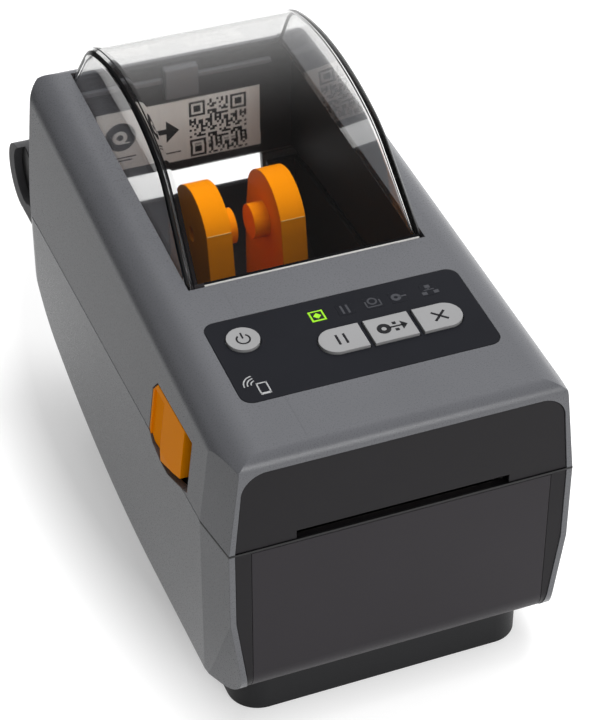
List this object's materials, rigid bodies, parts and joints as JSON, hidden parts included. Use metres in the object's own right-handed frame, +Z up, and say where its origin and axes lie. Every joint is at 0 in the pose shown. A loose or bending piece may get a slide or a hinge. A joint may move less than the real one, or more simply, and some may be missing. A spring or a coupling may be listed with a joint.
{
  "type": "label printer",
  "caption": "Compact grey desktop label printer with a hinged cover, smoked bubble window over orange roll holders, a key panel and side release latches.",
  "frame": {"origin": "middle of the bounding box on the surface that the printer stands on", "axes": "+X to the right seen from the front, +Y to the rear, +Z up"},
  "size_m": [0.115, 0.22, 0.151],
  "materials": {
    "housing_grey": "fine grain",
    "bezel_dark": "satin",
    "plinth_dark": "satin",
    "inner_dark": "satin",
    "orange_plastic": "satin",
    "clear_smoke": "clear smoked",
    "overlay_dark": "satin film",
    "key_grey": "satin",
    "status_green": "lit lens",
    "sticker_paper": "matt",
    "rubber_black": "matt",
    "steel": "ground",
    "zinc_sheet": "plated",
    "sink_metal": "milled",
    "head_ceramic": "glazed",
    "gear_white": "moulded",
    "pinion_brass": "hobbed",
    "board_green": "varnished",
    "part_black": "moulded"
  },
  "bodies": {
    "base": {"base_shell": "housing_grey", "lower_bezel": "bezel_dark", "lower_panel": "bezel_dark", "plinth": "plinth_dark", "foot_pads": "rubber_black", "plinth_screws": "steel", "hinge_lobes": "plinth_dark", "hinge_pins": "steel", "latch_catches": "inner_dark", "media_bay": "inner_dark", "front_deck": "inner_dark", "print_cradle": "zinc_sheet", "platen_bearings": "gear_white", "motor_can": "zinc_sheet", "main_board": "board_green", "board_parts": "part_black", "power_inlet": "part_black", "data_socket": "steel", "sensor_rod": "steel"},
    "cover": {"cover_shell": "housing_grey", "window": "clear_smoke", "upper_bezel": "bezel_dark", "tear_bar": "steel", "control_overlay": "overlay_dark", "indicator_lenses": "overlay_dark", "status_light": "status_green", "control_board": "board_green", "key_switches": "part_black", "cover_liner": "inner_dark", "guide_sticker": "sticker_paper", "head_bracket": "zinc_sheet", "head_springs": "steel"},
    "head": {"print_head": "head_ceramic", "heat_sink": "sink_metal", "pivot_rod": "steel"},
    "latch": {"latch_tabs": "orange_plastic", "latch_bar": "inner_dark", "latch_hooks": "inner_dark"},
    "power_key": {"power_key": "key_grey"},
    "pause_key": {"pause_key": "key_grey"},
    "feed_key": {"feed_key": "key_grey"},
    "cancel_key": {"cancel_key": "key_grey"},
    "holder_right": {"holder_right": "orange_plastic", "rack_right": "orange_plastic"},
    "holder_left": {"holder_left": "orange_plastic", "rack_left": "orange_plastic"},
    "sync_pinion": {"sync_pinion": "gear_white"},
    "platen": {"platen_sleeve": "rubber_black", "platen_shaft": "steel", "platen_gear": "gear_white"},
    "idler": {"idler_gear": "gear_white"},
    "motor_rotor": {"motor_shaft": "steel", "motor_pinion": "pinion_brass"},
    "sensor": {"media_sensor": "inner_dark"}
  },
  "joints": [
    {"name": "cover_hinge", "type": "hinge", "parent": "base", "child": "cover", "pos_m": [0, 0.098, 0.082], "axis": [-1, 0, 0], "range_deg": [0, 85]},
    {"name": "latch_slide", "type": "slide", "parent": "cover", "child": "latch", "axis": [0, -1, 0], "range_m": [0, 0.006], "stiffness_N_per_m": 200, "springref_m": -0.005},
    {"name": "head_lift", "type": "hinge", "parent": "cover", "child": "head", "pos_m": [0, -0.085, 0.0836], "axis": [-1, 0, 0], "range_deg": [0, 2.5], "stiffness_Nm_per_rad": 0.45, "springref_deg": -11.46, "deforming": ["head_springs"]},
    {"name": "power_key_press", "type": "slide", "parent": "cover", "child": "power_key", "axis": [0, 0.083, -0.9966], "range_m": [0, 0.0008], "stiffness_N_per_m": 800, "springref_m": -0.001},
    {"name": "pause_key_press", "type": "slide", "parent": "cover", "child": "pause_key", "axis": [0, 0.083, -0.9966], "range_m": [0, 0.0008], "stiffness_N_per_m": 800, "springref_m": -0.001},
    {"name": "feed_key_press", "type": "slide", "parent": "cover", "child": "feed_key", "axis": [0, 0.083, -0.9966], "range_m": [0, 0.0008], "stiffness_N_per_m": 800, "springref_m": -0.001},
    {"name": "cancel_key_press", "type": "slide", "parent": "cover", "child": "cancel_key", "axis": [0, 0.083, -0.9966], "range_m": [0, 0.0008], "stiffness_N_per_m": 800, "springref_m": -0.001},
    {"name": "holder_right_slide", "type": "slide", "parent": "base", "child": "holder_right", "axis": [1, 0, 0], "range_m": [0, 0.02], "stiffness_N_per_m": 25, "springref_m": -0.01},
    {"name": "holder_left_slide", "type": "slide", "parent": "base", "child": "holder_left", "axis": [-1, 0, 0], "range_m": [0, 0.02]},
    {"name": "sync_turn", "type": "hinge", "parent": "base", "child": "sync_pinion", "pos_m": [0, 0.027, 0.024], "axis": [0, 0, -1], "range_deg": [0, 191]},
    {"name": "platen_turn", "type": "hinge", "parent": "base", "child": "platen", "pos_m": [0, -0.097, 0.07], "axis": [1, 0, 0], "continuous": true},
    {"name": "idler_turn", "type": "hinge", "parent": "base", "child": "idler", "pos_m": [0, -0.08599, 0.05427], "axis": [1, 0, 0], "continuous": true},
    {"name": "motor_turn", "type": "hinge", "parent": "base", "child": "motor_rotor", "pos_m": [0, -0.07467, 0.04296], "axis": [1, 0, 0], "continuous": true},
    {"name": "sensor_slide", "type": "slide", "parent": "base", "child": "sensor", "axis": [1, 0, 0], "range_m": [-0.022, 0.022]}
  ],
  "couplings": [
    {"joint": "holder_left_slide", "follows": "holder_right_slide", "ratio": 1},
    {"joint": "sync_turn", "follows": "holder_right_slide", "rad_per_m": 166.67},
    {"joint": "idler_turn", "follows": "platen_turn", "ratio": -0.71429},
    {"joint": "motor_turn", "follows": "platen_turn", "ratio": 1.6667}
  ]
}
